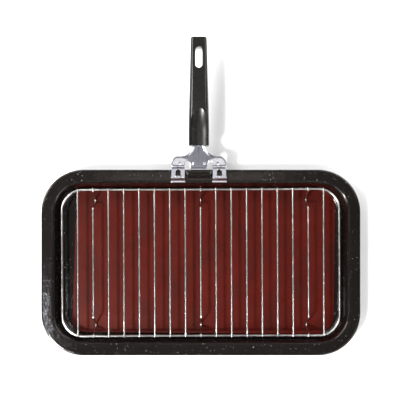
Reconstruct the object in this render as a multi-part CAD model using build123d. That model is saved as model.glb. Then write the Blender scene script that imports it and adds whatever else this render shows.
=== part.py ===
from build123d import *

import math
import os

# Grill pan with a wire rack, a loose drip liner and a hook-on handle.
# Units are millimetres. +Z is up and +Y points along the handle, away from the pan.
# The origin is the centre of the pan's flat underside.

# ---- Pan ----
PAN_LENGTH = 400.0
PAN_WIDTH = 233.0
PAN_HEIGHT = 30.0
PAN_CORNER = 53.0
RIM_Y = PAN_WIDTH / 2
FLANGE = 16.5
STEEL = 1.2
DRAFT = math.tan(math.radians(6.0))
FLOOR_RADIUS = 5.0
RIM_BEND = 3.0
LIP_DROP = 3.2
LIP_ROUND = 2.4
SEAT_LENGTH = 32.6
SEAT_WIDTH = 8.8
SEAT_RISE = 1.5
SEAT_CORNER = 2.6
SEAT_ROUND = 1.3

# ---- Drip liner ----
LINER_THICK = 0.6
LINER_LEFT = -163.5
LINER_RIGHT = 173.0
LINER_HALF_WIDTH = 91.5
LINER_LEFT_SLANT = 3.3
LINER_RIGHT_SLANT = 0.9
LINER_RIGHT_CORNERS = 24.0
LINER_FRONT_LEFT_CORNER = 16.0
LINER_BACK_LEFT_CORNER = 8.0

# ---- Wire rack ----
RACK_LENGTH = 351.0
RACK_WIDTH = 185.5
RACK_CORNER = 26.5
FRAME_WIRE = 3.2
ROD_WIRE = 2.4
FRAME_LEVEL = 20.0
WELD_SINK = 0.3
ROD_COUNT = 17
ROD_PITCH = 19.4
ROD_OVERHANG = 1.3
FOOT_RODS = (1, 8, 15)
FOOT_CLEARANCE = 0.3
FOOT_TIP = 12.6
FOOT_HALF_ANGLE = math.radians(25.0)
FOOT_BEND = 2.6
RACK_TURN = 0.25

# ---- Handle clamp ----
HANDLE_X = -2.5
PLATE = 1.2
CLAMP_HALF = 34.2
JAW_INSIDE = 17.3
TONGUE_HALF = 10.3
NECK_HALF = 7.3
NECK_Y = 144.5
NECK_Z = 36.5
BEND_Y = 119.0
JAW_FOOT_Y = 117.2
BEND_Z = PAN_HEIGHT - 0.1
JAW_TOP_Y = 104.4
JAW_TOP_Z = 36.2
JAW_LIP_Y = 102.0
JAW_LIP_Z = 33.3
JAW_END_Y = 99.6
NOTCH_TOP_Y = 126.0
FINGER_END_Y = 118.6
SHOULDER = (24.0, 132.6)
SHOULDER_DIP = (11.4, 137.6)
CORNER_BULGE = (31.6, 130.3)
CORNER_Y = 123.6
RIB_HEIGHT = 2.4
CREASE_Y = 134.0
CREASE_LENGTH = 20.0
CREASE_SIDE = 0.8
WINDOW_X = 25.7
WINDOW_WIDTH = 6.0
WINDOW_OUT_Y = 116.0
WINDOW_IN_Y = 107.8
TAB_ROOT_Y = 105.4
TAB_DROP = 0.9
SLOT_X = 23.6
SLOT_Y = 123.2
RIVET_X = 7.3
RIVET_Y = 123.4
RIVET_RADIUS = 1.6
RIVET_DOME = 2.9
RIVET_RISE = 1.1

# ---- Grip ----
GRIP_LENGTH = 131.5
GRIP_RISE = 4.0
GRIP_SECTIONS = (
    (0.0, 25.2, 17.4, 4.4),
    (22.0, 25.4, 18.0, 5.0),
    (55.0, 23.8, 17.0, 5.2),
    (86.0, 22.0, 15.0, 4.4),
    (GRIP_LENGTH, 19.6, 13.0, 3.4),
)
GRIP_END_ROUND = 2.2
GRIP_FRONT_ROUND = 1.2
SCOOP_TOP = 8.9
SCOOP_DEPTH = 3.4
SCOOP_RADIUS = 20.5
SCOOP_FLAT = 20.0
SCOOP_SWEEP = 100.0
HANG_SLOT_AT = 106.4
HANG_SLOT_LENGTH = 25.0
HANG_SLOT_WIDTH = 8.4
HANG_SLOT_ROUND = 1.0
TANG_LENGTH = 34.0
TANG_WIDTH = 13.0
SCREW_AT = 18.0
SCREW_RADIUS = 2.0
SCREW_HEAD_RADIUS = 4.0
SCREW_TOP = 4.0

FLOOR_TOP = STEEL
LINER_TOP = FLOOR_TOP + LINER_THICK
ROD_LEVEL = FRAME_LEVEL + FRAME_WIRE / 2 + ROD_WIRE / 2 - WELD_SINK
FOOT_LEVEL = LINER_TOP + FOOT_CLEARANCE + ROD_WIRE / 2


def rounded_sheet(length, width, corner, level):
    """A flat rounded rectangle, centred on the Z axis at one level."""
    return Pos(0, 0, level) * RectangleRounded(length, width, corner)


def cavity_outline(level, grow=0.0):
    """The pan's inner outline at one level, grown outward for its outside."""
    inset = FLANGE + (PAN_HEIGHT - level) * DRAFT - grow
    return rounded_sheet(
        PAN_LENGTH - 2 * inset, PAN_WIDTH - 2 * inset, PAN_CORNER - inset, level
    )


def edges_at_level(shape, level, tolerance=0.01):
    """The edges of a shape that lie wholly at one level."""
    level_edges = []
    for edge in shape.edges():
        box = edge.bounding_box()
        if abs(box.min.Z - level) < tolerance and abs(box.max.Z - level) < tolerance:
            level_edges.append(edge)
    return level_edges


def make_pan():
    """The drawn and enamelled steel pan, with its flange, turned lip and handle seat."""
    outside = loft([cavity_outline(0, STEEL), cavity_outline(PAN_HEIGHT, STEEL)], ruled=True)
    outside = fillet(edges_at_level(outside, 0), FLOOR_RADIUS + STEEL)
    inside = loft([cavity_outline(STEEL), cavity_outline(PAN_HEIGHT + STEEL)], ruled=True)
    inside = fillet(edges_at_level(inside, STEEL), FLOOR_RADIUS)

    plate = extrude(
        rounded_sheet(PAN_LENGTH, PAN_WIDTH, PAN_CORNER, PAN_HEIGHT - LIP_DROP), LIP_DROP
    )
    plate = fillet(edges_at_level(plate, PAN_HEIGHT), LIP_ROUND)
    hollow = extrude(
        rounded_sheet(
            PAN_LENGTH - 2 * STEEL,
            PAN_WIDTH - 2 * STEEL,
            PAN_CORNER - STEEL,
            PAN_HEIGHT - LIP_DROP - 1,
        ),
        LIP_DROP + 1 - STEEL,
    )
    hollow = fillet(edges_at_level(hollow, PAN_HEIGHT - STEEL), LIP_ROUND - STEEL)
    shell = outside + (plate - hollow) - inside

    rim_edges = []
    for edge in edges_at_level(shell, PAN_HEIGHT):
        box = edge.bounding_box()
        if max(abs(box.max.X), abs(box.min.X)) < PAN_LENGTH / 2 - FLANGE + 0.1:
            if max(abs(box.max.Y), abs(box.min.Y)) < PAN_WIDTH / 2 - FLANGE + 0.1:
                rim_edges.append(edge)
    shell = fillet(rim_edges, RIM_BEND)
    return shell + handle_seat(0) - handle_seat(STEEL)


def handle_seat(inset):
    """The raised seat pressed in the flange between the clamp's jaws."""
    middle = RIM_Y - STEEL - SEAT_WIDTH / 2
    bottom = PAN_HEIGHT - 2 * STEEL if inset else PAN_HEIGHT - STEEL / 2
    top = PAN_HEIGHT + SEAT_RISE - inset
    outline = RectangleRounded(
        SEAT_LENGTH - 2 * inset, SEAT_WIDTH - 2 * inset, SEAT_CORNER - inset
    )
    seat = Pos(HANDLE_X, middle, bottom) * extrude(outline, top - bottom)
    return fillet(edges_at_level(seat, top), SEAT_ROUND - inset / 2)


def make_liner():
    """The loose sheet on the pan floor, trimmed out of square to fit the pan's corners."""
    outline = Polyline(
        (LINER_LEFT - LINER_LEFT_SLANT, -LINER_HALF_WIDTH),
        (LINER_RIGHT - LINER_RIGHT_SLANT, -LINER_HALF_WIDTH),
        (LINER_RIGHT + LINER_RIGHT_SLANT, LINER_HALF_WIDTH),
        (LINER_LEFT + LINER_LEFT_SLANT, LINER_HALF_WIDTH),
        close=True,
    )
    sheet = make_face(outline)
    left = sheet.vertices().sort_by(Axis.X)[:2].sort_by(Axis.Y)
    right = sheet.vertices().sort_by(Axis.X)[2:]
    rounded = fillet(right, LINER_RIGHT_CORNERS)
    for old, radius in ((left[0], LINER_FRONT_LEFT_CORNER), (left[1], LINER_BACK_LEFT_CORNER)):
        nearest = rounded.vertices().sort_by_distance(old)[0]
        rounded = fillet(nearest, radius)
    return Pos(0, 0, FLOOR_TOP) * extrude(rounded, LINER_THICK)


def turned(shape):
    """Places a rack piece, because the rack stands slightly turned in the pan."""
    return Rot(0, 0, RACK_TURN) * shape


def wire_along(path, diameter):
    """A round wire along a path."""
    return sweep(Plane(path @ 0, z_dir=path % 0) * Circle(diameter / 2), path=path)


def make_rack_frame():
    """The closed wire frame of the rack."""
    outline = RectangleRounded(RACK_LENGTH, RACK_WIDTH, RACK_CORNER).wire()
    return turned(Pos(0, 0, FRAME_LEVEL) * wire_along(outline, FRAME_WIRE))


def rod_x(index):
    """The rod's place along the rack."""
    return (index - (ROD_COUNT - 1) / 2) * ROD_PITCH


def rod_half_length(x):
    """Half a rod's length: it ends just past the frame wire, also on the corner arcs."""
    past_corner = abs(x) - (RACK_LENGTH / 2 - RACK_CORNER)
    if past_corner <= 0:
        return RACK_WIDTH / 2 + ROD_OVERHANG
    drop = RACK_CORNER - math.sqrt(RACK_CORNER ** 2 - past_corner ** 2)
    return RACK_WIDTH / 2 - drop + ROD_OVERHANG


def make_plain_rod(index):
    """A straight rod across the rack."""
    x = rod_x(index)
    half = rod_half_length(x)
    rod = Pos(x, 0, ROD_LEVEL) * Rot(90, 0, 0) * Cylinder(ROD_WIRE / 2, 2 * half)
    return turned(chamfer(rod.edges().filter_by(GeomType.CIRCLE), 0.3))


def make_foot_rod(index):
    """A rod bent down into a V foot near each end; the sharp V is rounded to its level."""
    x = rod_x(index)
    half = rod_half_length(x)
    tip = RACK_WIDTH / 2 - FOOT_TIP
    sharp_level = FOOT_LEVEL - FOOT_BEND * (1 / math.sin(FOOT_HALF_ANGLE) - 1)
    reach = (ROD_LEVEL - sharp_level) * math.tan(FOOT_HALF_ANGLE)
    side = [
        (half, ROD_LEVEL),
        (tip + reach, ROD_LEVEL),
        (tip, sharp_level),
        (tip - reach, ROD_LEVEL),
    ]
    points = [(x, y, z) for y, z in side]
    points += [(x, -y, z) for y, z in reversed(side)]
    return turned(wire_along(FilletPolyline(*points, radius=FOOT_BEND), ROD_WIRE))


def plate_along(points, half_width, thickness=PLATE):
    """A bent plate: the points are its underside from the side, as (Y, Z)."""
    lower = Polyline(*[(0, y, z) for y, z in points])
    upper = Polyline(*[(0, y, z + thickness) for y, z in points])
    joined = Wire(
        [
            *lower.edges(),
            Line(lower @ 1, upper @ 1),
            *upper.edges(),
            Line(upper @ 0, lower @ 0),
        ]
    )
    return extrude(make_face(joined), half_width, dir=(1, 0, 0), both=True)


def grip_place(shape):
    """Moves a shape from the grip's own frame, Y along the grip, to its place."""
    return Pos(HANDLE_X, NECK_Y, NECK_Z + PLATE / 2) * Rot(GRIP_RISE, 0, 0) * shape


def clamp_outline():
    """Half of the top plate seen from above, from the neck to one jaw, then mirrored."""
    neck = (NECK_HALF, NECK_Y)
    corner = (CLAMP_HALF, CORNER_Y)
    notch = (JAW_INSIDE - TONGUE_HALF - 0.4) / 2
    finger_x = JAW_INSIDE - 2 * notch
    lines = [
        Line((0, NECK_Y), neck),
        ThreePointArc(neck, SHOULDER_DIP, SHOULDER),
        ThreePointArc(SHOULDER, CORNER_BULGE, corner),
        Line(corner, (CLAMP_HALF, JAW_END_Y)),
        Line((CLAMP_HALF, JAW_END_Y), (JAW_INSIDE, JAW_END_Y)),
        Line((JAW_INSIDE, JAW_END_Y), (JAW_INSIDE, NOTCH_TOP_Y - notch)),
        ThreePointArc(
            (JAW_INSIDE, NOTCH_TOP_Y - notch),
            (JAW_INSIDE - notch, NOTCH_TOP_Y),
            (finger_x, NOTCH_TOP_Y - notch),
        ),
        Line((finger_x, NOTCH_TOP_Y - notch), (finger_x, FINGER_END_Y)),
        Line((finger_x, FINGER_END_Y), (0, FINGER_END_Y)),
        Line((0, FINGER_END_Y), (0, NECK_Y)),
    ]
    half = make_face(lines)
    return half + mirror(half, about=Plane.YZ)


def plate_slope():
    """The slope of the clamp's plates between the rim and the neck."""
    return (NECK_Z - BEND_Z) / (NECK_Y - BEND_Y)


def turned_up_edges(outline, underside):
    """The stiffening edges turned up along both flares of the top plate."""
    tall = 30
    flare_length = NECK_Y - NOTCH_TOP_Y - 0.6
    flare = Pos(0, NOTCH_TOP_Y + 0.1 + flare_length / 2) * Rectangle(3 * CLAMP_HALF, flare_length)
    edge_band = outline - offset(outline, -PLATE)
    band = Pos(0, 0, PAN_HEIGHT - 5) * extrude(edge_band & flare, tall)
    ribs = plate_along(underside, 2 * CLAMP_HALF, PLATE + RIB_HEIGHT) & band
    return ribs - Pos(0, NECK_Y, NECK_Z) * Box(2 * NECK_HALF - 2 * PLATE, 4 * PLATE, tall)


def centre_crease():
    """The cutter for the fine groove down the middle of the top plate."""
    slope = plate_slope()
    level = BEND_Z + PLATE + (CREASE_Y - BEND_Y) * slope + CREASE_SIDE / 5
    cutter = Rot(math.degrees(math.atan(slope)), 0, 0) * Rot(0, 45, 0)
    return Pos(0, CREASE_Y, level) * cutter * Box(CREASE_SIDE, CREASE_LENGTH, CREASE_SIDE)


def make_top_plate():
    """The clamp's pressed top plate: neck and tang, turned-up edges and two jaws."""
    underside = [
        (JAW_END_Y, JAW_LIP_Z),
        (JAW_LIP_Y, JAW_LIP_Z),
        (JAW_TOP_Y, JAW_TOP_Z),
        (JAW_FOOT_Y, BEND_Z),
        (BEND_Y, BEND_Z),
        (NECK_Y, NECK_Z),
    ]
    outline = clamp_outline()
    column = Pos(0, 0, PAN_HEIGHT - 5) * extrude(outline, 30)
    plate = (plate_along(underside, 2 * CLAMP_HALF) & column) + turned_up_edges(outline, underside)
    tang = Pos(0, TANG_LENGTH / 2, 0) * Box(TANG_WIDTH, TANG_LENGTH + 0.6, PLATE)
    plate = plate + Pos(-HANDLE_X, 0, 0) * grip_place(tang)
    plate = plate - centre_crease()
    for side in (-1, 1):
        plate = plate - jaw_window(side) - rivet_place(side) * Cylinder(RIVET_RADIUS, 10)
        slot = extrude(SlotOverall(3.6, 1.9, 90), 12)
        plate = plate - Pos(side * SLOT_X, SLOT_Y, PAN_HEIGHT - 2) * slot
        plate = plate + jaw_tab(side)
    hole = Pos(0, SCREW_AT, 0) * Cylinder(SCREW_RADIUS, 10)
    plate = plate - Pos(-HANDLE_X, 0, 0) * grip_place(hole)
    return Pos(HANDLE_X, 0, 0) * plate


def jaw_window(side):
    """The round-headed window cut in a jaw."""
    straight = WINDOW_OUT_Y - WINDOW_IN_Y - WINDOW_WIDTH / 2
    window = Pos(0, straight / 2) * Rectangle(WINDOW_WIDTH, straight)
    window = window + Pos(0, straight) * Circle(WINDOW_WIDTH / 2)
    return Pos(side * WINDOW_X, WINDOW_IN_Y, PAN_HEIGHT) * extrude(window, 12)


def jaw_tab(side):
    """The tab left in the window, pressed down towards the flange."""
    slope = (JAW_TOP_Z - BEND_Z) / (JAW_FOOT_Y - JAW_TOP_Y)
    root_z = JAW_TOP_Z - (TAB_ROOT_Y - JAW_TOP_Y) * slope
    end_y = WINDOW_IN_Y + 1.8
    end_z = JAW_TOP_Z - (end_y - JAW_TOP_Y) * slope - TAB_DROP
    tab = plate_along([(TAB_ROOT_Y, root_z), (end_y, end_z)], (WINDOW_WIDTH - 0.8) / 2, 1.0)
    return Pos(side * WINDOW_X, 0, 0) * tab


def rivet_place(side):
    """The place of a clamp rivet, square to the sloping plates."""
    slope = plate_slope()
    z = BEND_Z + (RIVET_Y - BEND_Y) * slope
    return Pos(side * RIVET_X, RIVET_Y, z) * Rot(math.degrees(math.atan(slope)), 0, 0)


def make_tongue_plate():
    """The clamp's lower plate: it passes under the lip and rises behind it."""
    slope = plate_slope()
    lip_bottom = PAN_HEIGHT - LIP_DROP
    flange_under = PAN_HEIGHT - STEEL
    underside = [
        (NECK_Y - 6, BEND_Z + (NECK_Y - 6 - BEND_Y) * slope - PLATE),
        (BEND_Y + 1.4, BEND_Z + 1.4 * slope - PLATE),
        (BEND_Y - 0.6, lip_bottom - 0.5 - PLATE),
        (RIM_Y - 2.6, lip_bottom - 0.5 - PLATE),
        (RIM_Y - 5.2, flange_under - 0.4 - PLATE),
        (RIM_Y - 12.4, flange_under - 0.4 - PLATE),
    ]
    plate = plate_along(underside, TONGUE_HALF)
    tips = plate.edges().filter_by(Axis.Z).sort_by(Axis.Y)[:2]
    plate = fillet(tips, 3.0)
    shape = Pos(0, 131, 20) * extrude(Rectangle(2 * TONGUE_HALF, 26), 30)
    narrow = loft(
        [
            Pos(0, 125.5, 30) * Rot(-90, 0, 0) * Rectangle(2 * TONGUE_HALF, 40),
            Pos(0, 138.5, 30) * Rot(-90, 0, 0) * Rectangle(2 * NECK_HALF, 40),
        ]
    )
    plate = plate - (shape - narrow - Pos(0, 121.5, 30) * Box(40, 8, 40))
    for side in (-1, 1):
        plate = plate - rivet_place(side) * Cylinder(RIVET_RADIUS, 10)
    return Pos(HANDLE_X, 0, 0) * plate


def make_rivets():
    """The two rivets that join the clamp's plates, as a group."""
    rivets = []
    for side in (-1, 1):
        shank = Cylinder(RIVET_RADIUS, 2 * PLATE)
        dome = Pos(0, 0, PLATE + RIVET_RISE - RIVET_DOME) * Sphere(RIVET_DOME)
        head = dome & Pos(0, 0, PLATE + 5) * Box(10, 10, 10)
        tail = mirror(head, about=Plane.XY)
        rivets.append(Pos(HANDLE_X, 0, 0) * rivet_place(side) * (shank + head + tail))
    return Compound(rivets)


def make_grip():
    """The moulded grip, with its hanging slot, tang pocket and screw hole."""
    sections = []
    for along, width, height, corner in GRIP_SECTIONS:
        sections.append(Pos(0, along, 0) * Rot(-90, 0, 0) * RectangleRounded(width, height, corner))
    grip = loft(sections)
    end_edges = grip.faces().sort_by(Axis.Y)[-1].edges()
    grip = fillet(end_edges, GRIP_END_ROUND)
    front_edges = grip.faces().sort_by(Axis.Y)[0].edges()
    grip = fillet(front_edges, GRIP_FRONT_ROUND)
    slot = Pos(0, HANG_SLOT_AT, -20) * extrude(SlotOverall(HANG_SLOT_LENGTH, HANG_SLOT_WIDTH, 90), 40)
    grip = grip - slot
    slot_edges = []
    for edge in grip.edges():
        middle = edge @ 0.5
        if abs(middle.Y - HANG_SLOT_AT) < HANG_SLOT_LENGTH / 2 + 0.1 and abs(middle.Z) > 5:
            if abs(middle.X) < HANG_SLOT_WIDTH / 2 + 0.1:
                slot_edges.append(edge)
    grip = fillet(slot_edges, HANG_SLOT_ROUND)
    grip = grip - thumb_scoop()
    pocket = Pos(0, TANG_LENGTH / 2, 0) * Box(TANG_WIDTH, TANG_LENGTH + 0.6, PLATE)
    grip = grip - pocket
    return grip_place(grip - screw_solid())


def thumb_scoop():
    """The cutter for the hollow for the thumb: level at the front, then rising out."""
    level = SCOOP_TOP - SCOOP_DEPTH + SCOOP_RADIUS
    bend = SCOOP_SWEEP - SCOOP_RADIUS

    def rising(angle):
        return (0, SCOOP_FLAT + bend * math.sin(angle), level + bend * (1 - math.cos(angle)))

    path = Wire(
        [
            Line((0, -5, level), (0, SCOOP_FLAT, level)),
            ThreePointArc(rising(0), rising(0.25), rising(0.5)),
        ]
    )
    return wire_along(path, 2 * SCOOP_RADIUS)


def screw_solid():
    """The countersunk screw in the grip's own frame, driven from below."""
    bottom = -GRIP_SECTIONS[1][2] / 2 + 0.5
    shank = Pos(0, SCREW_AT, (bottom + SCREW_TOP) / 2) * Cylinder(SCREW_RADIUS, SCREW_TOP - bottom)
    cone = Pos(0, SCREW_AT, bottom + 1.2) * Cone(SCREW_HEAD_RADIUS, SCREW_RADIUS, 2.4)
    return shank + cone


def make_screw():
    """The grip screw, with a cross recess in its head."""
    bottom = -GRIP_SECTIONS[1][2] / 2 + 0.5
    screw = screw_solid()
    for angle in (0, 90):
        screw = screw - Pos(0, SCREW_AT, bottom + 0.6) * Rot(0, 0, angle) * Box(4.6, 0.9, 1.6)
    return grip_place(screw)


def main():
    """Builds every node and writes each to its own file."""
    nodes = {
        "pan_shell": make_pan(),
        "drip_liner": make_liner(),
        "rack_frame": make_rack_frame(),
        "clamp_top_plate": make_top_plate(),
        "clamp_tongue_plate": make_tongue_plate(),
        "clamp_rivets": make_rivets(),
        "handle_grip": make_grip(),
        "grip_screw": make_screw(),
    }
    for index in range(ROD_COUNT):
        number = f"{index + 1:02d}"
        if index in FOOT_RODS:
            nodes["rack_foot_rod_" + number] = make_foot_rod(index)
        else:
            nodes["rack_rod_" + number] = make_plain_rod(index)

    os.makedirs("parts", exist_ok=True)
    for name, shape in nodes.items():
        export_step(shape, f"parts/{name}.step")


main()
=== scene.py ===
import bpy
import bmesh
import math
import random
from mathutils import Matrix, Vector
from mathutils.geometry import delaunay_2d_cdt


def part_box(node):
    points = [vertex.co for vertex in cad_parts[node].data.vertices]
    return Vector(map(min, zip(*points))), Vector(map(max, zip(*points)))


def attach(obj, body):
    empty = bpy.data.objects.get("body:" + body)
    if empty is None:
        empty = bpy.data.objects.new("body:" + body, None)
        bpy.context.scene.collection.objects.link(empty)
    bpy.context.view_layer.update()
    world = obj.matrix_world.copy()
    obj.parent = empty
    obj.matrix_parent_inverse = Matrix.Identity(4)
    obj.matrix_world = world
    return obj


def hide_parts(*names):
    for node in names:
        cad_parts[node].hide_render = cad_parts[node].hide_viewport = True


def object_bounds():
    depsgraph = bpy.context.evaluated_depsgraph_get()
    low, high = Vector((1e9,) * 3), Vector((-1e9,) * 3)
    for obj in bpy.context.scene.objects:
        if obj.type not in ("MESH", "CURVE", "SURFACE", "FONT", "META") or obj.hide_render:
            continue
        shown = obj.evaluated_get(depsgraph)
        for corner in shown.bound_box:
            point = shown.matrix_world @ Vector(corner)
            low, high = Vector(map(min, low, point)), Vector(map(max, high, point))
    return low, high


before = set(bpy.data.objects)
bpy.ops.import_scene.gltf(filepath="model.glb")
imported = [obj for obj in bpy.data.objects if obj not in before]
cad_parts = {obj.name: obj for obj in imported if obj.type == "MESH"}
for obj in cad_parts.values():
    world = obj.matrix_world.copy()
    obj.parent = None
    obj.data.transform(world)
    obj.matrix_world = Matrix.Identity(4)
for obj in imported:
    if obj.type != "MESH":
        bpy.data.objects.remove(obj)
cad_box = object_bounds()

# A rectangular enamelled grill pan with a wire rack, a red drip liner and a hook-on handle.
# The rods, the frame wire, the tongue plate, the rivets, the screw and the grip are the CAD solids.
# The pan, the liner and the clamp's top plate are modelled again here with finer surfaces.
#
# Lengths are metres, in the frame of the CAD model: origin at the centre of the pan's underside,
# +Y towards the handle. MM turns the design's millimetres into metres.
MM = 0.001

# Where the pan's rim and the handle's middle are. The pressed handle seat stands above the rim.
PAN_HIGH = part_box("pan_shell")[1]
SEAT_RISE = 1.5 * MM
RIM_TOP = PAN_HIGH.z - SEAT_RISE
GRIP_LOW, GRIP_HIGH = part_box("handle_grip")
HANDLE_X = (GRIP_LOW.x + GRIP_HIGH.x) / 2


# ======================================================================== mesh helpers
def mesh_piece(name, verts, faces, smooth_angle=None):
    """A new mesh object from points and faces, smooth shaded, sharp past an angle."""
    mesh = bpy.data.meshes.new(name)
    mesh.from_pydata([tuple(v) for v in verts], [], faces)
    mesh.validate()
    piece = bpy.data.objects.new(name, mesh)
    bpy.context.scene.collection.objects.link(piece)
    tidy_normals(piece, smooth_angle)
    return piece


def tidy_normals(piece, smooth_angle=None):
    """Points the faces outward, shades them smooth and marks edges sharp past an angle."""
    work = bmesh.new()
    work.from_mesh(piece.data)
    bmesh.ops.recalc_face_normals(work, faces=work.faces)
    for face in work.faces:
        face.smooth = True
    if smooth_angle is not None:
        for edge in work.edges:
            if len(edge.link_faces) == 2:
                edge.smooth = edge.calc_face_angle(0) < math.radians(smooth_angle)
    work.to_mesh(piece.data)
    work.free()


def apply_modifiers(piece):
    """Makes a piece's modifiers part of its mesh."""
    graph = bpy.context.evaluated_depsgraph_get()
    mesh = bpy.data.meshes.new_from_object(piece.evaluated_get(graph))
    piece.modifiers.clear()
    old = piece.data
    piece.data = mesh
    bpy.data.meshes.remove(old)


def smoothstep(low, high, value):
    """0 below low, 1 above high, and a smooth rise between; low may exceed high."""
    t = min(1.0, max(0.0, (value - low) / (high - low)))
    return t * t * (3 - 2 * t)


def rounded_path(points, radii, step, arc_steps=6):
    """A polyline's corners rounded by arcs and its runs divided to a step, as 2-D points."""
    path = []
    last = len(points) - 1

    def add_run(target):
        """Goes straight on to a point."""
        start = path[-1]
        count = max(1, math.ceil((target - start).length / step))
        for i in range(1, count + 1):
            path.append(start.lerp(target, i / count))

    for index, point in enumerate(points):
        here = Vector(point)
        if index in (0, last) or radii[index] <= 0:
            if path:
                add_run(here)
            else:
                path.append(here)
            continue
        back = (Vector(points[index - 1]) - here).normalized()
        ahead = (Vector(points[index + 1]) - here).normalized()
        half = back.angle(ahead) / 2
        reach = radii[index] / math.tan(half)
        centre = here + (back + ahead).normalized() * (radii[index] / math.sin(half))
        start = here + back * reach
        end = here + ahead * reach
        add_run(start)
        first = start - centre
        turn = first.angle_signed(end - centre)
        for i in range(1, arc_steps + 1):
            angle = -turn * i / arc_steps
            cos, sin = math.cos(angle), math.sin(angle)
            path.append(centre + Vector((first.x * cos - first.y * sin, first.x * sin + first.y * cos)))
    return path


def rounded_loop(half_x, half_y, corner, side_steps, arc_steps):
    """A rounded rectangle's points, anticlockwise, always the same number for the same steps."""
    long_steps, short_steps = side_steps
    points = []
    for quarter in range(4):
        sign_x = 1 if quarter in (0, 3) else -1
        sign_y = 1 if quarter in (0, 1) else -1
        centre = Vector((sign_x * (half_x - corner), sign_y * (half_y - corner)))
        for i in range(arc_steps + 1):
            angle = math.pi / 2 * (quarter + i / arc_steps)
            points.append(centre + corner * Vector((math.cos(angle), math.sin(angle))))
        steps = long_steps if quarter in (0, 2) else short_steps
        run = 2 * (half_x if quarter in (0, 2) else half_y) - 2 * corner
        along = Vector(((-1, 0), (0, -1), (1, 0), (0, 1))[quarter])
        start = points[-1]
        for i in range(1, steps):
            points.append(start + along * run * i / steps)
    return points


def loft_faces(loops, count):
    """Quads between consecutive loops of the same number of points."""
    faces = []
    for i in range(loops - 1):
        low = i * count
        high = (i + 1) * count
        for j in range(count):
            k = (j + 1) % count
            faces.append((low + j, low + k, high + k, high + j))
    return faces


# ======================================================================== material helpers
class Shader:
    """A material and the few node patterns that this scene's materials share."""

    def __init__(self, name, **values):
        """Starts a material; the values are fixed ones for the shader's inputs of those names."""
        self.material = bpy.data.materials.new(name)
        self.material.use_nodes = True
        self.nodes = self.material.node_tree.nodes
        self.links = self.material.node_tree.links
        self.bsdf = self.nodes["Principled BSDF"]
        for key, value in values.items():
            socket = key.replace("_", " ").title().replace("Ior", "IOR")
            self.bsdf.inputs[socket].default_value = value
        self.coords = self.nodes.new("ShaderNodeTexCoord")

    def place(self, stretch=(1, 1, 1)):
        """Object coordinates, stretched."""
        if stretch == (1, 1, 1):
            return self.coords.outputs["Object"]
        mapping = self.nodes.new("ShaderNodeMapping")
        mapping.inputs["Scale"].default_value = stretch
        self.links.new(self.coords.outputs["Object"], mapping.inputs["Vector"])
        return mapping.outputs["Vector"]

    def noise(self, size, detail=4.0, rough=0.55, stretch=(1, 1, 1)):
        """Fractal noise whose features are about size metres."""
        node = self.nodes.new("ShaderNodeTexNoise")
        node.inputs["Scale"].default_value = 1 / size
        node.inputs["Detail"].default_value = detail
        node.inputs["Roughness"].default_value = rough
        self.links.new(self.place(stretch), node.inputs["Vector"])
        return node.outputs["Fac"]

    def cells(self, size):
        """Voronoi cells of about size metres: the distance and the cell's random colour."""
        node = self.nodes.new("ShaderNodeTexVoronoi")
        node.inputs["Scale"].default_value = 1 / size
        self.links.new(self.place(), node.inputs["Vector"])
        return node.outputs["Distance"], node.outputs["Color"]

    def ramp(self, value, stops):
        """Maps a value through (place, grey or colour) stops."""
        node = self.nodes.new("ShaderNodeValToRGB")
        ramp = node.color_ramp
        while len(ramp.elements) < len(stops):
            ramp.elements.new(0.5)
        for element, (place, colour) in zip(ramp.elements, stops):
            element.position = place
            grey = not hasattr(colour, "__len__")
            element.color = (colour, colour, colour, 1) if grey else (*colour, 1)
        self.links.new(value, node.inputs["Fac"])
        return node.outputs["Color"]

    def math(self, operation, first, second):
        """A math node; either side may be a socket or a number."""
        node = self.nodes.new("ShaderNodeMath")
        node.operation = operation
        for socket, value in zip(node.inputs, (first, second)):
            if isinstance(value, (int, float)):
                socket.default_value = value
            else:
                self.links.new(value, socket)
        return node.outputs["Value"]

    def mix(self, factor, first, second):
        """Mixes a colour socket with a fixed colour."""
        node = self.nodes.new("ShaderNodeMix")
        node.data_type = "RGBA"
        self.links.new(factor, node.inputs["Factor"])
        self.links.new(first, node.inputs["A"])
        node.inputs["B"].default_value = (*second, 1)
        return node.outputs["Result"]

    def multiply(self, first, second):
        """Multiplies two colour sockets."""
        node = self.nodes.new("ShaderNodeMix")
        node.data_type = "RGBA"
        node.blend_type = "MULTIPLY"
        node.inputs["Factor"].default_value = 1.0
        self.links.new(first, node.inputs["A"])
        self.links.new(second, node.inputs["B"])
        return node.outputs["Result"]

    def bump(self, height, strength, distance):
        """Feeds a height to the shader's normal."""
        node = self.nodes.new("ShaderNodeBump")
        node.inputs["Strength"].default_value = strength
        node.inputs["Distance"].default_value = distance
        self.links.new(height, node.inputs["Height"])
        self.links.new(node.outputs["Normal"], self.bsdf.inputs["Normal"])

    def feed(self, value, socket):
        """Links a value to one of the shader's inputs."""
        self.links.new(value, self.bsdf.inputs[socket])

    def colour(self, noise, stops):
        """Colours the surface by a noise through (place, colour) stops."""
        self.feed(self.ramp(noise, stops), "Base Color")

    def gloss(self, noise, smooth, rough):
        """Varies the roughness by a noise between two (place, roughness) stops."""
        self.feed(self.ramp(noise, [smooth, rough]), "Roughness")


# The enamel's flecks: the size of the cells that hold one fleck each, the largest fleck's radius as
# a share of its cell, and the share of cells left empty. FLECK_EDGE is how hard their edges are.
FLECKS = (
    (2.6 * MM, 0.17, 0.48),
    (5.5 * MM, 0.12, 0.50),
    (1.2 * MM, 0.17, 0.75),
)
FLECK_EDGE = 14.0
FLECK_COLOUR = (0.42, 0.44, 0.47)


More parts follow.
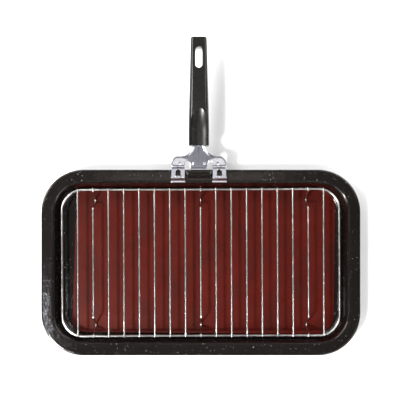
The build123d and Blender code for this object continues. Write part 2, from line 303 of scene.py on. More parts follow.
def fleck_mask(s, size, largest, empty):
    """1 inside the flecks of one size and 0 outside, with a soft edge."""
    distance, colour = s.cells(size)
    parts = s.nodes.new("ShaderNodeSeparateColor")
    s.links.new(colour, parts.inputs["Color"])
    reach = s.math("MULTIPLY", parts.outputs["Red"], largest)
    inside = s.math("SUBTRACT", reach, distance)
    soft = s.math("MULTIPLY", inside, FLECK_EDGE)
    chosen = s.math("GREATER_THAN", parts.outputs["Green"], empty)
    clamped = s.math("MAXIMUM", s.math("MINIMUM", soft, 1.0), 0.0)
    return s.math("MULTIPLY", clamped, chosen)


def enamel_material():
    """Black vitreous enamel: glassy, with fine white flecks and a faint orange-peel surface."""
    s = Shader("enamel", specular_tint=(1.0, 0.95, 0.90, 1.0), ior=1.5)
    base = s.ramp(s.noise(40 * MM), [(0.3, (0.0021, 0.0014, 0.0011)), (0.7, (0.0038, 0.0027, 0.0021))])
    flecks = fleck_mask(s, *FLECKS[0])
    for sort in FLECKS[1:]:
        flecks = s.math("MAXIMUM", flecks, fleck_mask(s, *sort))
    s.feed(s.mix(flecks, base, FLECK_COLOUR), "Base Color")
    s.gloss(s.noise(25 * MM, 6), (0.35, 0.035), (0.7, 0.10))
    ripple = s.math("ADD", s.noise(9 * MM, 2), s.math("MULTIPLY", s.noise(2.2 * MM, 2), 0.55))
    s.bump(ripple, 0.40, 0.5 * MM)
    return s.material


def liner_material():
    """The liner's dark red coated sheet: semi-matt, mottled, with a fine grain."""
    s = Shader("liner_red", ior=1.40, specular_ior_level=0.09, specular_tint=(1.0, 0.88, 0.76, 1.0))
    tone = s.ramp(
        s.noise(26 * MM, 6, 0.62, stretch=(1, 0.4, 1)),
        [
            (0.28, (0.034, 0.0064, 0.0048)),
            (0.5, (0.052, 0.0052, 0.0036)),
            (0.72, (0.067, 0.0058, 0.0036)),
        ],
    )
    fine = s.ramp(s.noise(3 * MM, 6, 0.7), [(0.3, 0.78), (0.7, 1.0)])
    s.feed(s.multiply(tone, fine), "Base Color")
    s.gloss(s.noise(18 * MM, 5), (0.3, 0.30), (0.7, 0.52))
    grain = s.math("ADD", s.noise(0.9 * MM, 3), s.math("MULTIPLY", s.noise(12 * MM, 3), 1.2))
    s.bump(grain, 0.25, 0.3 * MM)
    return s.material


def chrome_material():
    """Bright chromed wire, slightly dulled by heat and use."""
    s = Shader("wire_chrome", metallic=1.0)
    s.colour(
        s.noise(14 * MM, 5, 0.6),
        [(0.3, (0.46, 0.44, 0.42)), (0.55, (0.60, 0.59, 0.57)), (0.8, (0.72, 0.72, 0.71))],
    )
    s.gloss(s.noise(6 * MM, 6, 0.7), (0.3, 0.12), (0.75, 0.30))
    s.bump(s.noise(2.2 * MM, 3), 0.25, 0.2 * MM)
    return s.material


def clamp_material():
    """Satin zinc-plated pressed steel with a faint rolled grain and handling marks."""
    s = Shader("clamp_zinc", metallic=1.0)
    s.colour(
        s.noise(7 * MM, 6, 0.65),
        [(0.25, (0.66, 0.66, 0.73)), (0.55, (0.76, 0.76, 0.82)), (0.8, (0.85, 0.85, 0.89))],
    )
    s.gloss(s.noise(2.5 * MM, 6, 0.7), (0.3, 0.10), (0.75, 0.20))
    grain = s.noise(0.9 * MM, 3, 0.6, stretch=(1, 0.12, 1))
    s.bump(grain, 0.20, 0.12 * MM)
    return s.material


def fastener_material():
    """Zinc-plated rivets and screw, darker and smoother than the plate."""
    s = Shader("fastener_zinc", metallic=1.0)
    s.colour(s.noise(1.8 * MM, 5), [(0.3, (0.46, 0.46, 0.50)), (0.75, (0.62, 0.62, 0.66))])
    s.gloss(s.noise(1.2 * MM, 5), (0.3, 0.07), (0.75, 0.15))
    s.bump(s.noise(0.6 * MM, 3), 0.2, 0.08 * MM)
    return s.material


def grip_material():
    """Moulded black phenolic: semi-gloss, faintly mottled brown-black."""
    s = Shader("grip_phenolic", ior=1.5)
    s.colour(
        s.noise(5 * MM, 6, 0.7),
        [
            (0.3, (0.0024, 0.0017, 0.0013)),
            (0.6, (0.0044, 0.0033, 0.0027)),
            (0.8, (0.0088, 0.0070, 0.0057)),
        ],
    )
    s.gloss(s.noise(3 * MM, 6, 0.7), (0.3, 0.19), (0.75, 0.31))
    s.bump(s.math("ADD", s.noise(1.1 * MM, 4), s.noise(6 * MM, 2)), 0.15, 0.12 * MM)
    return s.material


def stage_material():
    """The plain pale floor."""
    s = Shader("stage_white", roughness=0.9)
    s.colour(s.noise(0.3, 2), [(0.3, 0.90), (0.7, 0.92)])
    return s.material


def finish_with(piece, material):
    """Gives a piece one material on all its faces."""
    piece.data.materials.clear()
    piece.data.materials.append(material)


# ======================================================================== camera and light
# The camera's height above the rim, and the width that it sees at the rim's level.
CAMERA_HEIGHT = 0.79
VIEW_WIDTH = 0.50
CAMERA_X = -0.001
SENSOR_WIDTH = 36
FRAMING_SHIFT = 0.1565

# The lamps: place, size, radiance, colour and the point that they face.
MIDDLE = (0, 0, 0)
LAMPS = (
    ("key", (-0.81, -0.58, 1.50), (0.25, 0.25), 275, (1.0, 0.985, 0.96), MIDDLE),
    ("glint", (-0.62, -0.185, 1.50), (0.045, 0.12), 54, (0.80, 0.86, 1.0), (-0.62, -0.185, 0)),
    ("edge", (-1.10, 0.50, 1.40), (0.42, 0.50), 15, (1.0, 0.99, 0.97), MIDDLE),
    ("front", (0.10, -2.05, 1.05), (0.8, 0.5), 2.5, (1, 1, 1), MIDDLE),
    ("back", (0, 1.85, 1.05), (1.3, 0.8), 0.75, (0.97, 0.97, 1.0), MIDDLE),
)

# The panels overhead, which face straight down: X range, Y range, height, radiance and colour.
CEILING = (
    ("ceiling_main", (-1.5, 0.50), (-0.37, 1.3), 1.70, 0.28, (0.95, 0.965, 1.0)),
    ("ceiling_front", (-1.5, 0.50), (-1.3, -0.37), 1.70, 0.18, (0.88, 0.89, 1.0)),
    ("ceiling_back", (-0.36, 0.30), (0.12, 0.38), 1.66, 0.76, (1.0, 0.98, 0.93)),
    ("ceiling_right", (0.52, 1.5), (-1.3, 1.3), 1.70, 0.16, (0.95, 0.965, 1.0)),
)

# The fills at the four corners, which face the pan.
FILLS = (
    ("fill_front_left", -1.35, -1.35),
    ("fill_front_right", 1.35, -1.35),
    ("fill_back_left", -1.35, 1.35),
    ("fill_back_right", 1.35, 1.35),
)
FILL_LEVEL = 1.85
FILL_SIZE = (1.6, 1.0)
FILL_RADIANCE = 5.3

# The world is pale at the horizon and dim overhead: (height of the direction, level).
SKY = ((0.10, 0.62), (0.34, 0.07))
SKY_TINT = (1, 0.98, 0.96)

STAGE_REACH = 2.6
STAGE_GAP = 0.2 * MM


def make_camera():
    """Straight down over the pan's middle; the shift brings the handle into the picture."""
    data = bpy.data.cameras.new("camera")
    data.sensor_width = SENSOR_WIDTH
    data.lens = data.sensor_width * CAMERA_HEIGHT / VIEW_WIDTH
    data.shift_y = FRAMING_SHIFT
    camera = bpy.data.objects.new("camera", data)
    camera.location = (CAMERA_X, 0, RIM_TOP + CAMERA_HEIGHT)
    bpy.context.scene.collection.objects.link(camera)
    bpy.context.scene.camera = camera


def soft_panel(name, place, size, radiance, colour=(1, 1, 1), target=MIDDLE):
    """A rectangular soft light aimed at a point; radiance is the brightness of its face."""
    data = bpy.data.lights.new(name, "AREA")
    data.shape = "RECTANGLE"
    data.size, data.size_y = size
    data.energy = radiance * math.pi * size[0] * size[1]
    data.color = colour
    light = bpy.data.objects.new(name, data)
    light.location = place
    aim = Vector(target) - Vector(place)
    light.rotation_euler = aim.to_track_quat("-Z", "Y").to_euler()
    bpy.context.scene.collection.objects.link(light)


def make_light():
    """A key and a small glint from the left, soft panels round the pan, and fills at the corners."""
    for lamp in LAMPS:
        soft_panel(*lamp)
    for name, x_range, y_range, level, radiance, colour in CEILING:
        centre = ((x_range[0] + x_range[1]) / 2, (y_range[0] + y_range[1]) / 2, level)
        size = (x_range[1] - x_range[0], y_range[1] - y_range[0])
        soft_panel(name, centre, size, radiance, colour, (centre[0], centre[1], 0))
    for name, x, y in FILLS:
        soft_panel(name, (x, y, FILL_LEVEL), FILL_SIZE, FILL_RADIANCE)


def make_world():
    """The studio's surroundings, from a pale horizon to a dim ceiling."""
    world = bpy.data.worlds.new("studio")
    world.use_nodes = True
    nodes, links = world.node_tree.nodes, world.node_tree.links
    direction = nodes.new("ShaderNodeTexCoord")
    height = nodes.new("ShaderNodeSeparateXYZ")
    fade = nodes.new("ShaderNodeValToRGB")
    for element, (place, level) in zip(fade.color_ramp.elements, SKY):
        element.position = place
        element.color = (*(level * tint for tint in SKY_TINT), 1)
    links.new(direction.outputs["Generated"], height.inputs["Vector"])
    links.new(height.outputs["Z"], fade.inputs["Fac"])
    links.new(fade.outputs["Color"], nodes["Background"].inputs["Color"])
    bpy.context.scene.world = world
    bpy.context.scene.view_settings.view_transform = "Standard"


def make_stage(material):
    """A plain floor just under the pan."""
    signs = ((-1, -1), (1, -1), (1, 1), (-1, 1))
    corners = [(STAGE_REACH * x, STAGE_REACH * y, 0) for x, y in signs]
    floor = mesh_piece("floor", corners, [(0, 1, 2, 3)])
    floor.location.z = cad_box[0][2] - STAGE_GAP
    finish_with(floor, material)


# ======================================================================== pan
# The pan's section is measured inward from the rim.
PAN_HALF_X = PAN_HIGH.x
PAN_HALF_Y = PAN_HIGH.y
CORNER = 53 * MM
FLANGE = 16.5 * MM
STEEL = 1.2 * MM
DRAFT = math.tan(math.radians(6))
FLOOR_ROUND = 5 * MM
RIM_ROUND = 3 * MM
LIP_DROP = 3.2 * MM
LIP_ROUND = 2.4 * MM
LIP_EDGE_ROUND = 0.55 * MM
FLOOR_INSET = 45 * MM

# The pan's mesh: the section's step, the steps along its long and short sides and round a corner.
SECTION_STEP = 1.2 * MM
PAN_SIDE_STEPS = (240, 70)
PAN_ARC_STEPS = 18
PAN_SHARP_ANGLE = 60

# The raised seat that the handle's jaws hook over, pressed in the flange.
SEAT_HALF_LENGTH = 16.3 * MM
SEAT_INNER_Y = PAN_HALF_Y - 10.0 * MM
SEAT_OUTER_Y = PAN_HALF_Y - 1.2 * MM
SEAT_SLOPE = 1.7 * MM
SEAT_OUTER_SLOPE = 2.6 * SEAT_SLOPE


def seat_lift(x, y):
    """How far the pressed handle seat lifts the flange at one place."""
    side = SEAT_HALF_LENGTH - abs(x - HANDLE_X)
    across = smoothstep(0, SEAT_SLOPE, side)
    inner = smoothstep(0, SEAT_SLOPE, y - SEAT_INNER_Y)
    outer = smoothstep(0, SEAT_OUTER_SLOPE, SEAT_OUTER_Y - y)
    return SEAT_RISE * across * inner * outer


def pan_section():
    """The pan's section as (inset from the rim, height): up the inside, round the lip and back under."""
    corners = [
        ((FLOOR_INSET, STEEL), 0),
        ((FLANGE + (RIM_TOP - STEEL) * DRAFT, STEEL), FLOOR_ROUND),
        ((FLANGE, RIM_TOP), RIM_ROUND),
        ((0, RIM_TOP), LIP_ROUND),
        ((0, RIM_TOP - LIP_DROP), LIP_EDGE_ROUND),
        ((STEEL, RIM_TOP - LIP_DROP), LIP_EDGE_ROUND),
        ((STEEL, RIM_TOP - STEEL), LIP_ROUND - STEEL),
        ((FLANGE - STEEL, RIM_TOP - STEEL), RIM_ROUND - STEEL),
        ((FLANGE + RIM_TOP * DRAFT - STEEL, 0), FLOOR_ROUND + STEEL),
        ((FLOOR_INSET, 0), 0),
    ]
    points = [point for point, _ in corners]
    radii = [radius for _, radius in corners]
    return rounded_path(points, radii, step=SECTION_STEP)


def make_pan(material):
    """The pan as one smooth skin: its section carried round the rounded rectangle."""
    section = pan_section()
    verts = []
    for inset, level in section:
        loop = rounded_loop(
            PAN_HALF_X - inset, PAN_HALF_Y - inset, CORNER - inset, PAN_SIDE_STEPS, PAN_ARC_STEPS
        )
        for point in loop:
            lift = seat_lift(point.x, point.y) if level > RIM_TOP - LIP_DROP else 0
            verts.append((point.x, point.y, level + lift))
    count = len(loop)
    faces = loft_faces(len(section), count)
    faces.append(tuple(range(count - 1, -1, -1)))
    last = (len(section) - 1) * count
    faces.append(tuple(range(last, last + count)))
    pan = mesh_piece("pan_enamel", verts, faces, smooth_angle=PAN_SHARP_ANGLE)
    finish_with(pan, material)
    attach(pan, "pan")
    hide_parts("pan_shell")


# ======================================================================== liner
# The sheet's left and right edges lean, its back edge climbs the bend between the pan's floor and
# wall, and its front edge is turned a little: the slants are how far an edge moves by its end.
LINER_LOW, LINER_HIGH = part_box("drip_liner")
LINER_LEFT = -163.5 * MM
LINER_RIGHT = 173.0 * MM
LINER_LEFT_SLANT = 3.3 * MM
LINER_RIGHT_SLANT = 0.9 * MM
LINER_RIGHT_CORNERS = 24 * MM
LINER_FRONT_LEFT_CORNER = 16 * MM
LINER_BACK_LEFT_CORNER = 8 * MM
LINER_BACK = 96.1 * MM
LINER_FRONT = -91.0 * MM
LINER_FRONT_SLANT = 1.7 * MM
LINER_THICK = 0.5 * MM
LINER_GAP = 0.05 * MM
LINER_STEP = 2.2 * MM
LINER_END_ROWS = 26
LINER_SHARP_ANGLE = 50

# The waves' height, the shares of the long, crossing and short waves in it on either side of its
# half, how much of it is left under the rack's feet, and between which Y it fades there.
LINER_WAVE = 0.45 * MM
WAVE_SHARES = (0.30, 0.13, 0.07)
WAVE_UNDER_FEET = 0.12
FEET_AT_Y = 75 * MM
CLEAR_OF_FEET_Y = 66 * MM

# Where the pan's flat floor ends, its corners there, and the bend that the sheet follows.
FLOOR_END = Vector((175.9, 92.4)) * MM
FLOOR_CORNER = 29 * MM
FLOOR_BEND = 4.9 * MM
FLOOR_BEND_LIMIT = 0.95 * FLOOR_BEND


def corner_pull(past_end, corner):
    """How far a rounded corner draws an edge in, near the end of the sheet."""
    past = corner - past_end
    if past <= 0:
        return 0.0
    return corner - math.sqrt(max(0.0, corner ** 2 - past ** 2))


def liner_edges(y):
    """The liner's left and right edge at one place across the pan."""
    lean = y / LINER_HIGH.y
    to_end = LINER_BACK - y if y > 0 else y - LINER_FRONT
    left_corner = LINER_BACK_LEFT_CORNER if y > 0 else LINER_FRONT_LEFT_CORNER
    left = LINER_LEFT + LINER_LEFT_SLANT * lean + corner_pull(to_end, left_corner)
    right = LINER_RIGHT + LINER_RIGHT_SLANT * lean - corner_pull(to_end, LINER_RIGHT_CORNERS)
    return left, right


def liner_wave(x, y):
    """The sheet's gentle unevenness above the pan floor; it lies flat under the rack's feet."""
    long_wave = math.sin(x * 31 + 0.6) * math.cos(y * 27 - 0.4)
    cross = math.sin((x + 0.8 * y) * 63 + 1.1)
    short = math.sin((x - 0.5 * y) * 118 + 2.0) * math.cos(y * 71)
    height = 0.5 + WAVE_SHARES[0] * long_wave + WAVE_SHARES[1] * cross + WAVE_SHARES[2] * short
    clear_of_feet = smoothstep(FEET_AT_Y, CLEAR_OF_FEET_Y, abs(y))
    return LINER_WAVE * height * (WAVE_UNDER_FEET + (1 - WAVE_UNDER_FEET) * clear_of_feet)


def front_turn(x, y):
    """How far outward the turned front edge carries one place of the sheet."""
    return LINER_FRONT_SLANT * x / LINER_RIGHT * max(0.0, y / LINER_FRONT)


def floor_rise(x, y):
    """How far the sheet is lifted where it climbs the bend between the pan's floor and walls."""
    out_x = max(0.0, abs(x) - (FLOOR_END.x - FLOOR_CORNER))
    out_y = max(0.0, abs(y) - (FLOOR_END.y - FLOOR_CORNER))
    past = min(max(0.0, math.hypot(out_x, out_y) - FLOOR_CORNER), FLOOR_BEND_LIMIT)
    return FLOOR_BEND - math.sqrt(FLOOR_BEND ** 2 - past ** 2)


def liner_rows():
    """The Y of each row of the sheet's grid, closer together towards its rounded corners."""
    front, back, end = LINER_FRONT, LINER_BACK, LINER_RIGHT_CORNERS
    quarter = [math.pi / 2 * i / LINER_END_ROWS for i in range(LINER_END_ROWS)]
    steps = [end * (1 - math.cos(angle)) for angle in quarter]
    middle_rows = round((back - front - 2 * end) / LINER_STEP)
    middle = (back - front - 2 * end) / middle_rows
    rows = [front + step for step in steps]
    rows += [front + end + middle * i for i in range(middle_rows + 1)]
    rows += [back - step for step in reversed(steps)]
    return rows


def make_liner(material):
    """The red sheet: a fine grid cut to the liner's outline, gently wavy, with real thickness."""
    rows = liner_rows()
    columns = round((LINER_HIGH.x - LINER_LOW.x) / LINER_STEP)
    floor_top = LINER_LOW.z + LINER_GAP
    verts, faces = [], []
    for y in rows:
        left, right = liner_edges(y)
        for i in range(columns + 1):
            x = left + (right - left) * i / columns
            y_here = y - front_turn(x, y)
            lift = liner_wave(x, y_here) + floor_rise(x, y_here)
            verts.append((x, y_here, floor_top + lift))
    for row in range(len(rows) - 1):
        for i in range(columns):
            a = row * (columns + 1) + i
            faces.append((a, a + 1, a + columns + 2, a + columns + 1))
    sheet = mesh_piece("liner_sheet", verts, faces)
    if sheet.data.polygons[0].normal.z < 0:
        sheet.data.flip_normals()
    thicken = sheet.modifiers.new("thickness", "SOLIDIFY")
    thicken.thickness = LINER_THICK
    thicken.offset = 1
    apply_modifiers(sheet)
    tidy_normals(sheet, LINER_SHARP_ANGLE)
    finish_with(sheet, material)
    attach(sheet, "liner")
    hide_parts("drip_liner")


# ======================================================================== rack
# The weld nuggets: half sizes, their spread, how lumpy they are, how the lumps run along X and Y
# and how far they are jittered, and where the nuggets sit on the frame.
ROD_RADIUS = 1.2 * MM
NUGGET_SIZE = Vector((1.45, 1.25, 1.0)) * MM
NUGGET_SPREAD = (0.9, 1.12)
NUGGET_LUMP = 0.10
LUMPS_ALONG = (7, 5)
LUMP_JITTER = 0.3
NUGGET_INSET = 1.3 * MM
NUGGET_SINK = 0.2 * MM


def make_welds(material):
    """The small flattened nuggets where each rod is resistance-welded to the frame wire."""
    frame_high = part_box("rack_frame")[1]
    rods = [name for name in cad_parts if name.startswith("rack_") and "rod" in name]
    dice = random.Random(7)
    work = bmesh.new()
    for name in sorted(rods):
        low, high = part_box(name)
        x_turn = (high.x - low.x) / 2 - ROD_RADIUS
        for end, y in ((1, high.y), (-1, low.y)):
            x = (low.x + high.x) / 2 - end * x_turn
            nugget = bmesh.ops.create_icosphere(work, subdivisions=3, radius=1)
            size = NUGGET_SIZE * dice.uniform(*NUGGET_SPREAD)
            centre = Vector((x, y - end * NUGGET_INSET, frame_high.z - NUGGET_SINK))
            for vert in nugget["verts"]:
                phase = LUMPS_ALONG[0] * vert.co.x + LUMPS_ALONG[1] * vert.co.y
                lump = 1 + NUGGET_LUMP * math.sin(phase + dice.uniform(0, LUMP_JITTER))
                vert.co = centre + Vector(a * b * lump for a, b in zip(vert.co, size))
    mesh = bpy.data.meshes.new("rack_welds")
    work.to_mesh(mesh)
    work.free()
    welds = bpy.data.objects.new("rack_welds", mesh)
    bpy.context.scene.collection.objects.link(welds)
    tidy_normals(welds)
    finish_with(welds, material)
    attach(welds, "rack")


def finish_rack(material):
    """Gives the wires their chrome."""
    for name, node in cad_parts.items():
        if name.startswith("rack_"):
            finish_with(node, material)


# ======================================================================== clamp
# The top plate seen from above. X is measured from the handle's middle, on either side of it.
CLAMP_HALF = 34.2 * MM
CORNER_BULGE = (31.6 * MM, 130.3 * MM)
CORNER_END = (CLAMP_HALF, 123.6 * MM)
SHOULDER = (24 * MM, 132.6 * MM)
FLARE_BEND = (11.4 * MM, 137.6 * MM)
FLARE_STEPS = 26
CORNER_STEPS = 16
NECK_HALF = 7.3 * MM
NECK_Y = 144.5 * MM
TANG_HALF = 6.4 * MM
TANG_STEP_Y = NECK_Y + 1.5 * MM
TANG_END_Y = 150 * MM
JAW_INSIDE = 17.3 * MM
FINGER_HALF = 10.7 * MM
FINGER_CUT = 1.5 * MM
FINGER_END_Y = 118.6 * MM
GAP_TOP_Y = 126 * MM
HALF_TURN_STEPS = 12

# The plate's side view: the jaws rise from the bend over the rim to a step and a lip.
JAW_END_Y = 99.6 * MM
JAW_LIP_Y = 102.2 * MM
JAW_TOP_Y = 104.9 * MM
BEND_Y = 119 * MM
BEND_FROM_Y = 117.0 * MM
BEND_TO_Y = 119.4 * MM
JAW_LIP_Z = 32.6 * MM
JAW_TOP_Z = 36.4 * MM
BEND_Z = 29.9 * MM
NECK_Z = 36.5 * MM
TANG_END_Z = 36.9 * MM
BEND_ROUND = 2.6 * MM
NECK_ROUND = 4 * MM
LIP_FLARE = 0.5 * MM
LIP_FLARE_Y = JAW_LIP_Y + 0.6 * MM
PLATE = 1.2 * MM

# Each arm is a nearly level shelf from the bend out to a fold across it.
ARM_FOLD_Y = 131.0 * MM
ARM_FOLD_X = 22 * MM
ARM_FOLD_SLANT = 0.3
ARM_SLOPE = 0.06
SHELF_INSIDE = JAW_INSIDE - 4 * MM
SHELF_FROM = BEND_Y - 2 * MM
SHELF_RISE = (BEND_Y - 0.8 * MM, BEND_Y + 1.9 * MM)

# The edge along the flare is turned up, less on the arms than at the neck.
RIB_HEIGHT = 1.3 * MM
RIB_WIDTH = (2.2 * MM, 0.6 * MM)
RIB_START = (120.5 * MM, 127 * MM)
RIB_END = (NECK_Y + 3 * MM, NECK_Y - 1 * MM)
RIB_LOW_SHARE = 0.85
RIB_LOW_FROM = (9 * MM, 20 * MM)

# A narrow groove pressed along the middle, and a notch pressed in each arm.
CREASE_HALF = 0.48 * MM
CREASE_SLOPE = 2.2
CREASE_FROM = 121 * MM
CREASE_TO = 144 * MM
CREASE_STEPS = 28
NOTCH_X = 23.6 * MM
NOTCH_Y = 123.2 * MM
NOTCH_HALF = 1.25 * MM
NOTCH_RUN = 1.6 * MM
NOTCH_SLOPE = 0.60
NOTCH_RIM_STEPS = 10

# Each jaw's window, and the tab that curls up at its inner end.
WINDOW_X = 25.7 * MM
WINDOW_HALF = 3.0 * MM
WINDOW_IN_Y = 107.8 * MM
WINDOW_OUT_Y = 116.0 * MM
TAB_CURL = 1.6 * MM
TAB_SLOPE = 1.30
TAB_SPREAD = 0.45
TAB_BLEND = (0.4 * MM, -0.5 * MM)
TAB_END_Y = WINDOW_IN_Y + 0.1 * MM
TAB_FOLD = (-3.6 * MM, 0, 3.6 * MM)

# The pressed plate's mesh: its step, how far its inner points stay from borders as a share of the
# step, how far folds stop short of the outline, and the step of the side view's bends.
PLATE_STEP = 0.75 * MM
BORDER_CLEAR = 0.4
FOLD_CLEAR = 0.15 * MM
RULE_STEP = 0.5 * MM
CUT_EDGE_ROUND = 0.22 * MM
PLATE_SHARP_ANGLE = 42
MERGE_DISTANCE = 1e-7
NO_RUN = 1e-9


def arc_through(start, middle, end, steps):
    """Points on the circle through three points, from start to end."""
    a, b, c = (Vector(p) for p in (start, middle, end))
    turn = 2 * ((a - c).x * (b - c).y - (a - c).y * (b - c).x)
    aa, bb = (a - c).length_squared, (b - c).length_squared
    centre = c + Vector(
        (aa * (b - c).y - bb * (a - c).y, bb * (a - c).x - aa * (b - c).x)
    ) / turn
    radius = (a - centre).length
    first = math.atan2((a - centre).y, (a - centre).x)
    sweep = -(a - centre).angle_signed(c - centre)
    angles = [first + sweep * i / steps for i in range(steps + 1)]
    return [centre + radius * Vector((math.cos(angle), math.sin(angle))) for angle in angles]


def flare_curve():
    """One side's edge of the top plate from the neck to the arm, seen from above."""
    curve = arc_through((NECK_HALF, NECK_Y), FLARE_BEND, SHOULDER, FLARE_STEPS)
    curve += arc_through(SHOULDER, CORNER_BULGE, CORNER_END, CORNER_STEPS)[1:]
    return curve


def half_circle(x, y, radius, steps, first=0.0):
    """Points on a half circle round (x, y), anticlockwise from a first angle."""
    angles = [math.pi * i / steps + first for i in range(steps + 1)]
    return [Vector((x + radius * math.cos(angle), y + radius * math.sin(angle))) for angle in angles]


def clamp_outline():
    """The top plate's outline seen from above, anticlockwise round both sides."""
    gap = (JAW_INSIDE - FINGER_HALF) / 2
    side = [Vector((TANG_HALF, TANG_END_Y)), Vector((TANG_HALF, TANG_STEP_Y))]
    side += flare_curve()
    side += [
        Vector((CLAMP_HALF, LIP_FLARE_Y)),
        Vector((CLAMP_HALF + LIP_FLARE, JAW_LIP_Y)),
        Vector((CLAMP_HALF + LIP_FLARE, JAW_END_Y)),
        Vector((JAW_INSIDE - LIP_FLARE, JAW_END_Y)),
        Vector((JAW_INSIDE - LIP_FLARE, JAW_LIP_Y)),
        Vector((JAW_INSIDE, LIP_FLARE_Y)),
    ]
    side += half_circle(JAW_INSIDE - gap, GAP_TOP_Y - gap, gap, HALF_TURN_STEPS)
    side += [
        Vector((FINGER_HALF, FINGER_END_Y + FINGER_CUT)),
        Vector((FINGER_HALF - FINGER_CUT, FINGER_END_Y)),
    ]
    other = [Vector((-p.x, p.y)) for p in reversed(side)]
    return side + other


def notch_rim(side):
    """The closed, round-ended rim of one arm's notch."""
    points = []
    for end, first in ((1, 0.0), (-1, math.pi)):
        y = NOTCH_Y + end * NOTCH_RUN / 2
        points += half_circle(side * NOTCH_X, y, NOTCH_HALF, NOTCH_RIM_STEPS, first)
    return points + points[:1]


def window_hole(side):
    """The jaw's window: square inside, round-headed towards the rim."""
    x = side * WINDOW_X
    points = [Vector((x - WINDOW_HALF, WINDOW_IN_Y)), Vector((x + WINDOW_HALF, WINDOW_IN_Y))]
    points += half_circle(x, WINDOW_OUT_Y - WINDOW_HALF, WINDOW_HALF, HALF_TURN_STEPS)
    return points


def inside_loop(x, y, loop):
    """Whether a point is inside a closed loop."""
    inside = False
    for a, b in zip(loop, loop[1:] + loop[:1]):
        if (a.y > y) != (b.y > y) and x < a.x + (y - a.y) / (b.y - a.y) * (b.x - a.x):
            inside = not inside
    return inside


def distance_to(x, y, line):
    """Distance from a point to a polyline."""
    point = Vector((x, y))
    best = math.inf
    for a, b in zip(line, line[1:]):
        run = b - a
        t = min(1, max(0, (point - a).dot(run) / run.length_squared))
        best = min(best, (a + run * t - point).length)
    return best


def divide(loop, step):
    """A closed loop with its long runs divided."""
    points = []
    for a, b in zip(loop, loop[1:] + loop[:1]):
        count = max(1, math.ceil((b - a).length / step))
        points += [a.lerp(b, i / count) for i in range(count)]
    return points


def on_plate(x, y, outline, holes):
    """Whether a point is on a plate: inside its outline and outside its holes."""
    return inside_loop(x, y, outline) and not any(inside_loop(x, y, hole) for hole in holes)


def grid_points(outline, holes, borders, step):
    """A triangular grid of points on a plate, clear of its borders and folds."""
    xs = [p.x for p in outline]
    ys = [p.y for p in outline]
    columns = math.ceil((max(xs) - min(xs)) / step)
    rows = math.ceil((max(ys) - min(ys)) / step)
    points = []
    for row in range(1, rows):
        for column in range(1, columns):
            x = min(xs) + (column + 0.5 * (row % 2)) * step
            y = min(ys) + row * step
            if not on_plate(x, y, outline, holes):
                continue
            if min(distance_to(x, y, border) for border in borders) > BORDER_CLEAR * step:
                points.append(Vector((x, y)))
    return points


def flat_plate(outline, holes, folds, step):
    """A plate's flat mesh, whose edges follow its outline, holes and folds: points and triangles."""
    loops = [divide(loop, step) for loop in [outline, *holes]]
    points, edges = [], []
    for loop in loops:
        start = len(points)
        points += loop
        edges += [(start + i, start + (i + 1) % len(loop)) for i in range(len(loop))]
    for fold in folds:
        start = len(points)
        points += fold
        edges += [(start + i, start + i + 1) for i in range(len(fold) - 1)]
    borders = [loop + loop[:1] for loop in loops] + folds
    points += grid_points(outline, holes, borders, step)
    flat, _, triangles, _, _, _ = delaunay_2d_cdt(points, edges, [], 1, MERGE_DISTANCE)
    kept = []
    for triangle in triangles:
        centre = sum((flat[i] for i in triangle), Vector((0, 0))) / len(triangle)
        if on_plate(centre.x, centre.y, outline, holes):
            kept.append(tuple(triangle))
    return flat, kept


def pressed_plate(name, outline, holes, folds, height):
    """A pressed plate: its flat mesh raised by a height rule, thickened, with its cut edges rounded."""
    flat, triangles = flat_plate(outline, holes, folds, PLATE_STEP)
    verts = [(HANDLE_X + p.x, p.y, height(p.x, p.y)) for p in flat]
    plate = mesh_piece(name, verts, triangles)
    if sum(face.normal.z for face in plate.data.polygons) < 0:
        plate.data.flip_normals()
    thicken = plate.modifiers.new("thickness", "SOLIDIFY")
    thicken.thickness = PLATE
    thicken.offset = 1
    thicken.use_even_offset = True
    skin_faces = 2 * len(plate.data.polygons)
    apply_modifiers(plate)
    round_cut_edges(plate, skin_faces, CUT_EDGE_ROUND)
    tidy_normals(plate, PLATE_SHARP_ANGLE)
    return plate


def round_cut_edges(plate, skin_faces, width):
    """Rounds the edges between a plate's two skins and its cut rim, whose faces come last."""
    work = bmesh.new()
    work.from_mesh(plate.data)
    work.faces.ensure_lookup_table()
    edges = []
    for edge in work.edges:
        on_rim = [face.index >= skin_faces for face in edge.link_faces]
        if any(on_rim) and not all(on_rim):
            edges.append(edge)
    bmesh.ops.bevel(work, geom=edges, offset=width, segments=2, profile=0.5, affect="EDGES")
    work.to_mesh(plate.data)
    work.free()


def level_rule(points, radii):
    """A height rule from a side view: (Y, Z) points with rounded bends, read by Y."""
    path = rounded_path(points, radii, RULE_STEP)

    def level(y):
        """The path's height at one Y; past its last point the last run goes on."""
        if y <= path[0].x:
            return path[0].y
        for a, b in zip(path, path[1:]):
            if a.x <= y <= b.x:
                return a.y + (b.y - a.y) * (y - a.x) / max(b.x - a.x, NO_RUN)
        a, b = path[-2:]
        return b.y + (y - b.x) * (b.y - a.y) / max(b.x - a.x, NO_RUN)

    return level


def shelf_level(side, y, centre_level):
    """The plate's level beside its middle: the arms leave the middle's slope for their shelf."""
    level = centre_level(y)
    fold = ARM_FOLD_Y - ARM_FOLD_SLANT * max(0.0, ARM_FOLD_X - side)
    if side > SHELF_INSIDE and SHELF_FROM < y < fold:
        shelf = centre_level(fold) - (fold - y) * ARM_SLOPE
        level += (shelf - level) * smoothstep(*SHELF_RISE, y)
    return level


def rib_lift(side, y, flare):
    """How far the turned-up edge along the flare rises at one place."""
    fade = smoothstep(*RIB_START, y) * smoothstep(*RIB_END, y)
    low = 1 - RIB_LOW_SHARE * smoothstep(*RIB_LOW_FROM, side)
    return RIB_HEIGHT * low * fade * smoothstep(*RIB_WIDTH, distance_to(side, y, flare))


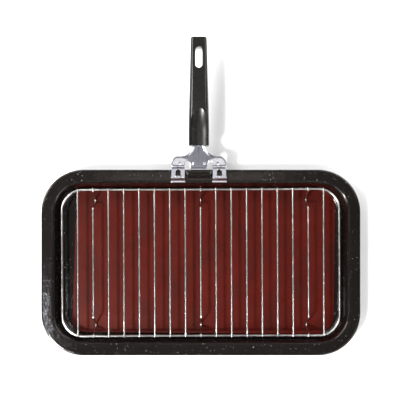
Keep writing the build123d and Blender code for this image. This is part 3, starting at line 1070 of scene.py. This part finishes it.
def notch_depth(side, y):
    """How deep the arm's pressed notch is at one place."""
    run = max(0.0, abs(y - NOTCH_Y) - NOTCH_RUN / 2)
    return NOTCH_SLOPE * max(0.0, NOTCH_HALF - math.hypot(side - NOTCH_X, run))


def crease_depth(side, y):
    """How deep the groove along the plate's middle is at one place."""
    if not CREASE_FROM < y < CREASE_TO:
        return 0.0
    return max(0.0, CREASE_HALF - side) * CREASE_SLOPE


def tab_lift(side, y):
    """How far the tab at the window's inner end curls up at one place."""
    if y >= TAB_END_Y:
        return 0.0
    beside = abs(side - WINDOW_X)
    tab_half = WINDOW_HALF + TAB_SPREAD * (WINDOW_IN_Y - y)
    curl = max(0.0, y - WINDOW_IN_Y + TAB_CURL)
    return TAB_SLOPE * curl * smoothstep(tab_half + TAB_BLEND[0], tab_half + TAB_BLEND[1], beside)


def clamp_folds():
    """The lines that the top plate's mesh follows: crease, jaw bends, tab curls and notches."""
    run = CREASE_TO - CREASE_FROM
    crease_ys = [CREASE_FROM + run * i / CREASE_STEPS for i in range(CREASE_STEPS + 1)]
    folds = [[Vector((x, y)) for y in crease_ys] for x in (-CREASE_HALF, 0.0, CREASE_HALF)]
    jaw_ends = (JAW_INSIDE + FOLD_CLEAR, CLAMP_HALF - FOLD_CLEAR)
    notch_ends = (NOTCH_Y - NOTCH_RUN / 2, NOTCH_Y + NOTCH_RUN / 2)
    curl_y = WINDOW_IN_Y - TAB_CURL
    for side in (-1, 1):
        for bend_y in (JAW_LIP_Y, JAW_TOP_Y):
            folds.append([Vector((side * x, bend_y)) for x in jaw_ends])
        folds.append([Vector((side * WINDOW_X + x, curl_y)) for x in TAB_FOLD])
        folds.append(notch_rim(side))
        folds.append([Vector((side * NOTCH_X, y)) for y in notch_ends])
    return folds


def make_clamp(material):
    """The clamp's top plate: jaws, arms, finger, neck and tang in one pressed sheet."""
    centre_level = level_rule(
        [
            (JAW_END_Y, JAW_LIP_Z),
            (JAW_LIP_Y, JAW_LIP_Z),
            (JAW_TOP_Y, JAW_TOP_Z),
            (BEND_FROM_Y, BEND_Z),
            (BEND_TO_Y, BEND_Z),
            (NECK_Y, NECK_Z),
            (TANG_END_Y, TANG_END_Z),
        ],
        [0, 0, 0, BEND_ROUND, BEND_ROUND, NECK_ROUND, 0],
    )
    flare = flare_curve()

    def height(x, y):
        """The plate's lower skin at one place."""
        side = abs(x)
        level = shelf_level(side, y, centre_level) + rib_lift(side, y, flare)
        level -= notch_depth(side, y)
        level -= crease_depth(side, y)
        return level + tab_lift(side, y)

    holes = [window_hole(side) for side in (-1, 1)]
    top = pressed_plate("clamp_top", clamp_outline(), holes, clamp_folds(), height)
    finish_with(top, material)
    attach(top, "handle")
    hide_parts("clamp_top_plate")


def finish_clamp_parts(clamp_steel, fastener):
    """Gives the CAD's tongue plate, rivets and screw their metals."""
    finish_with(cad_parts["clamp_tongue_plate"], clamp_steel)
    finish_with(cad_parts["clamp_rivets"], fastener)
    finish_with(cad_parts["grip_screw"], fastener)


# ======================================================================== build it all
def main():
    """Makes the whole scene."""
    make_camera()
    make_light()
    make_world()
    make_stage(stage_material())
    enamel = enamel_material()
    chrome = chrome_material()
    clamp_steel = clamp_material()
    fastener = fastener_material()
    make_pan(enamel)
    make_liner(liner_material())
    finish_rack(chrome)
    make_welds(chrome)
    make_clamp(clamp_steel)
    finish_clamp_parts(clamp_steel, fastener)
    finish_with(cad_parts["handle_grip"], grip_material())


main()
